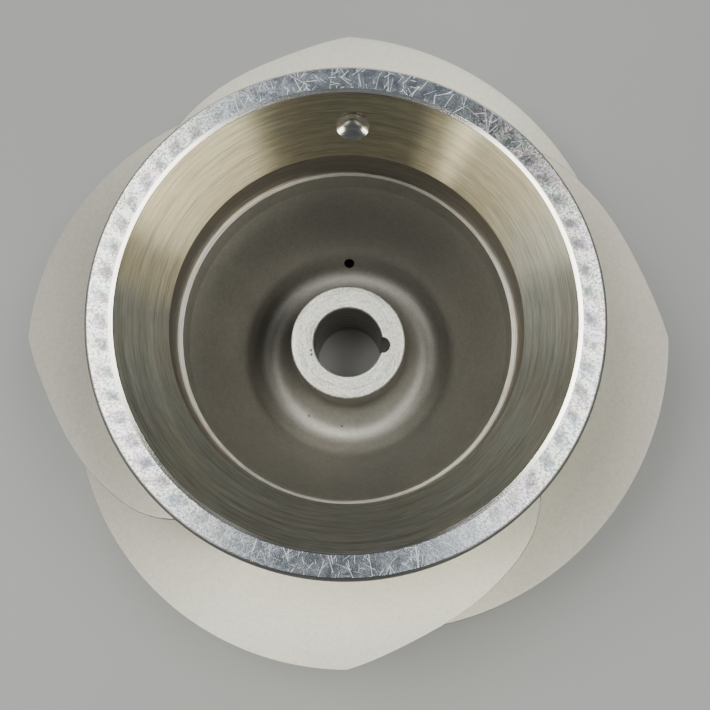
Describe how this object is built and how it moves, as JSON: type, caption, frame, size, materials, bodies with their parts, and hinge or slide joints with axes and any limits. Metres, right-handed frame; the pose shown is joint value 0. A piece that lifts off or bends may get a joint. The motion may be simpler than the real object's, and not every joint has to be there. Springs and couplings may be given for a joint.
{
  "type": "mixed-flow pump impeller",
  "caption": "Cast steel mixed-flow impeller: a bowl-shaped hub with a machined rim, a keyed bore in a central boss, and overlapping blades wound round the outside.",
  "frame": {"origin": "centre of the nose face on the axis of rotation, the lowest point of the part", "axes": "+Z along the axis of rotation, from the inlet and nose up to the rim on the outlet side; +X through the outer corner of blade_1, beside the key notch"},
  "size_m": [0.2548, 0.2548, 0.112],
  "materials": {
    "machined_steel": "turned, bright at the rim and satin in the bowl",
    "boss_steel": "faced, fine matt",
    "blasted_steel": "bead-blasted casting, satin"
  },
  "bodies": {
    "root": {"hub_shell": "machined_steel", "shaft_boss": "boss_steel", "blade_1": "blasted_steel", "blade_2": "blasted_steel", "blade_3": "blasted_steel", "blade_4": "blasted_steel"}
  },
  "joints": []
}
